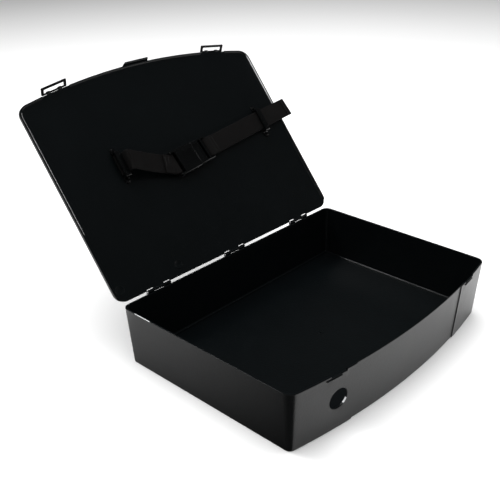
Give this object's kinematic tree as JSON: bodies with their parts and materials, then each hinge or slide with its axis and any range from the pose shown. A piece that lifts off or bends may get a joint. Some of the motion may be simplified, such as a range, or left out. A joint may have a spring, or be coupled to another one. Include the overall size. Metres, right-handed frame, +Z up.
{
  "type": "hinged-lid case",
  "caption": "Shallow black moulded case with a bowed front, hinged lid standing open, flip-over latch loops, a finger hole in the front wall and a buckled retaining strap inside the lid.",
  "frame": {"origin": "centre of the tray's underside, on the flat bottom of its centre pad", "axes": "+X along the hinge line to the right seen from the front, +Y from the bowed front to the hinge, +Z up"},
  "size_m": [0.388, 0.426, 0.2827],
  "materials": {
    "case_black": "semi-gloss moulded black polypropylene",
    "latch_black": "semi-gloss moulded black latch",
    "fitting_black": "glossy black acetal",
    "webbing": "black woven webbing",
    "pin_steel": "drawn steel wire"
  },
  "bodies": {
    "tray": {"base_tray": "case_black", "hinge_pin_left": "pin_steel", "hinge_pin_centre": "pin_steel", "hinge_pin_right": "pin_steel"},
    "lid": {"lid": "case_black", "strap_anchor_left": "fitting_black", "strap_anchor_right": "fitting_black", "strap_rivet_1": "fitting_black", "strap_rivet_2": "fitting_black", "strap_rivet_3": "fitting_black", "strap_rivet_4": "fitting_black", "short_strap": "webbing", "buckle_socket": "fitting_black"},
    "latch_left": {"latch_loop_left": "latch_black"},
    "latch_right": {"latch_loop_right": "latch_black"},
    "strap_pull": {"buckle_plug": "fitting_black", "long_strap": "webbing"},
    "tail": {"strap_tail": "webbing"}
  },
  "joints": [
    {"name": "lid_hinge", "type": "hinge", "parent": "tray", "child": "lid", "pos_m": [0, 0.13092, 0.07211], "axis": [-1, 0, 0], "range_deg": [-128.81, 0]},
    {"name": "latch_left_hinge", "type": "hinge", "parent": "lid", "child": "latch_left", "pos_m": [-0.12643, 0.29091, 0.27105], "axis": [-0.9893, -0.0915, -0.1137], "range_deg": [-60, 50]},
    {"name": "latch_right_hinge", "type": "hinge", "parent": "lid", "child": "latch_right", "pos_m": [0.12573, 0.29098, 0.27113], "axis": [-0.9894, 0.091, 0.1131], "range_deg": [-60, 50]},
    {"name": "buckle_slide", "type": "slide", "parent": "lid", "child": "strap_pull", "axis": [0.9942, 0.0677, 0.0842], "range_m": [0, 0.018]},
    {"name": "tail_fold", "type": "hinge", "parent": "strap_pull", "child": "tail", "pos_m": [0.15, 0.21677, 0.18764], "axis": [0.108, -0.6231, -0.7747], "range_deg": [0, 100.1]}
  ],
  "couplings": [
    {"joint": "tail_fold", "follows": "lid_hinge", "ratio": -0.77634}
  ]
}
